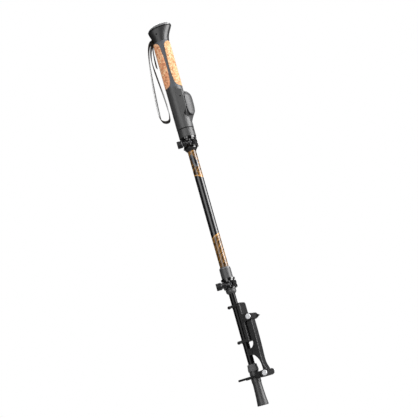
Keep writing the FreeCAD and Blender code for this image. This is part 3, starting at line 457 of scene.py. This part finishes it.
def strap(name, line, width, thick, twist, inner_sign):
    """Flat webbing along a line: rounded selvedges, two woven faces, and a slow twist. twist(t) is in radians."""
    bm = bmesh.new()
    uvl = bm.loops.layers.uv.new("weave")
    half, t2 = width / 2, thick / 2
    # cross-section, across the band (w) and through it (h)
    sec = []
    k = 9
    for i in range(k + 1):
        w = -half + t2 + (width - 2 * t2) * i / k
        sec.append((w, t2 * (1.0 - 0.10 * math.cos(2 * math.pi * i / k)), 0))
    for a in (60, 20, -20, -60):
        sec.append((half - t2 + t2 * math.cos(math.radians(a)), t2 * math.sin(math.radians(a)), 1))
    for i in range(k, -1, -1):
        w = -half + t2 + (width - 2 * t2) * i / k
        sec.append((w, -t2 * (1.0 - 0.10 * math.cos(2 * math.pi * i / k)), 2))
    for a in (-60, -20, 20, 60):
        sec.append((-half + t2 - t2 * math.cos(math.radians(a)), t2 * math.sin(math.radians(a)), 1))
    rings, n = [], len(line)
    s, run = 0.0, []
    for i, p in enumerate(line):
        if i:
            s += (p - line[i - 1]).length
        run.append(s)
        a, b = line[max(0, i - 1)], line[min(n - 1, i + 1)]
        tan = (b - a).normalized()
        side = Vector((0, 1, 0))
        nrm = tan.cross(side).normalized()
        ang = twist(i / (n - 1))
        w_dir = side * math.cos(ang) + nrm * math.sin(ang)
        h_dir = nrm * math.cos(ang) - side * math.sin(ang)
        rings.append([bm.verts.new(p + w_dir * w + h_dir * h) for w, h, _ in sec])
    m = len(sec)
    per = [0.0]
    for j in range(m):
        w0, h0, _ = sec[j]
        w1, h1, _ = sec[(j + 1) % m]
        per.append(per[-1] + math.hypot(w1 - w0, h1 - h0))
    for i in range(n - 1):
        for j in range(m):
            k2 = (j + 1) % m
            f = bm.faces.new((rings[i][j], rings[i][k2], rings[i + 1][k2], rings[i + 1][j]))
            f.smooth = True
            side_id = sec[j][2] if sec[j][2] == sec[k2][2] else 1
            f.material_index = 1 if side_id == (0 if inner_sign > 0 else 2) else 0
            for lp, (jj, ii) in zip(f.loops, ((j, i), (j + 1, i), (j + 1, i + 1), (j, i + 1))):
                lp[uvl].uv = (per[jj], run[ii])
    for ring, flip in ((rings[0], False), (rings[-1], True)):
        f = bm.faces.new(ring if flip else list(reversed(ring)))
        f.material_index = 0
    bmesh.ops.recalc_face_normals(bm, faces=bm.faces)
    me = bpy.data.meshes.new(name)
    bm.to_mesh(me)
    bm.free()
    me.materials.append(M["webbing_tail" if "tail" in name else "webbing_out"])
    me.materials.append(M["webbing_tail" if "tail" in name else "webbing_in"])
    o = bpy.data.objects.new(name, me)
    bpy.context.scene.collection.objects.link(o)
    return o


def smooth(t, a, b):
    x = min(1.0, max(0.0, (t - a) / (b - a)))
    return x * x * (3 - 2 * x)


def loop_twist(t):
    # the outer strand turns its inner face a little to the front, the inner strand its outer one
    a = 0.16 * smooth(t, 0.12, 0.34) * (1 - smooth(t, 0.42, 0.52))
    b = 0.10 * smooth(t, 0.54, 0.62) * (1 - smooth(t, 0.80, 0.92))
    return a + b


loop_line, loop_len = resample(nurbs_line("route_loop", LOOP), 0.0016)
tail_line, tail_len = resample(nurbs_line("route_tail", TAIL), 0.0014)
loop_strap = strap("wrist_strap", loop_line, STRAP_W, STRAP_T, loop_twist, 1)
tail_strap = strap("wrist_strap_tail", tail_line, STRAP_W, STRAP_T, lambda t: 0.10 * smooth(t, 0.3, 1.0), 1)
for o, nodes in ((loop_strap, "strap_loop"), (tail_strap, "strap_tail")):
    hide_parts(nodes)
    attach(o, "handle")

# ---------------------------------------------------------------- floor, backdrop, light
def area(name, pos, aim, sx, sy, radiance, colour=(1, 1, 1)):
    d = bpy.data.lights.new(name, "AREA")
    d.shape = "RECTANGLE"
    d.size, d.size_y = sx, sy
    d.energy = radiance * math.pi * sx * sy
    d.color = colour
    o = bpy.data.objects.new(name, d)
    bpy.context.scene.collection.objects.link(o)
    o.location = pos
    o.rotation_mode = "QUATERNION"
    o.rotation_quaternion = (Vector(aim) - Vector(pos)).to_track_quat("-Z", "Y")
    o.visible_camera = False
    return o


def polar(az, dist, z):
    """Azimuth measured from the camera's side towards +X."""
    a = math.radians(az)
    return (dist * math.sin(a), -dist * math.cos(a), z)


CEN = (0, 0, 0.45)
area("key_right", polar(76, 1.7, 1.05), (0, 0, 0.9), 1.25, 2.15, 10.5)
area("front_left", polar(-25, 2.4, 1.32), (0, 0, 1.0), 2.05, 2.65, 3.0)
area("rear", polar(176, 2.4, 0.8), CEN, 1.3, 1.6, 2.0)
area("top_rear", (0.25, 1.3, 2.2), (0, 0, 0.8), 1.5, 1.0, 3.2)

world = bpy.data.worlds.new("studio")
bpy.context.scene.world = world
world.use_nodes = True
wt = world.node_tree
wt.nodes.clear()
wo = wt.nodes.new("ShaderNodeOutputWorld")
mixs = wt.nodes.new("ShaderNodeMixShader")
lp = wt.nodes.new("ShaderNodeLightPath")
dim = wt.nodes.new("ShaderNodeBackground")
dim.inputs[0].default_value = (1, 1, 1, 1)
dim.inputs[1].default_value = 0.04
wht = wt.nodes.new("ShaderNodeBackground")
wht.inputs[0].default_value = (1, 1, 1, 1)
wht.inputs[1].default_value = 1.0
wt.links.new(lp.outputs["Is Camera Ray"], mixs.inputs[0])
wt.links.new(dim.outputs[0], mixs.inputs[1])
wt.links.new(wht.outputs[0], mixs.inputs[2])
wt.links.new(mixs.outputs[0], wo.inputs[0])

bm = bmesh.new()
bmesh.ops.create_circle(bm, cap_ends=True, segments=96, radius=3.0)
fm = bpy.data.meshes.new("floor")
bm.to_mesh(fm)
bm.free()
floor = bpy.data.objects.new("floor", fm)
bpy.context.scene.collection.objects.link(floor)
floor.location = (0, 0, -0.0295)


def floor_material():
    """Pale sweep: plain white to the camera, a soft grey bounce to everything else."""
    g = G("floor_pale")
    g.color(g.ramp(g.noise(3.0), [(0.3, (0.24, 0.24, 0.24)), (0.7, (0.26, 0.26, 0.26))]))
    g.set(Roughness=0.9, Specular_IOR_Level=0.1)
    e = g.n("ShaderNodeEmission")
    e.inputs[0].default_value = (1, 1, 1, 1)
    e.inputs[1].default_value = 1.0
    mx = g.n("ShaderNodeMixShader")
    g.l(g.n("ShaderNodeLightPath").outputs["Is Camera Ray"], mx.inputs[0])
    g.l(g.b.outputs[0], mx.inputs[1])
    g.l(e.outputs[0], mx.inputs[2])
    g.l(mx.outputs[0], g.out.inputs[0])
    return g.m


fm.materials.append(floor_material())

sc = bpy.context.scene
sc.view_settings.view_transform = "Standard"
sc.view_settings.look = "None"
sc.view_settings.exposure = 0.0
sc.view_settings.gamma = 1.0
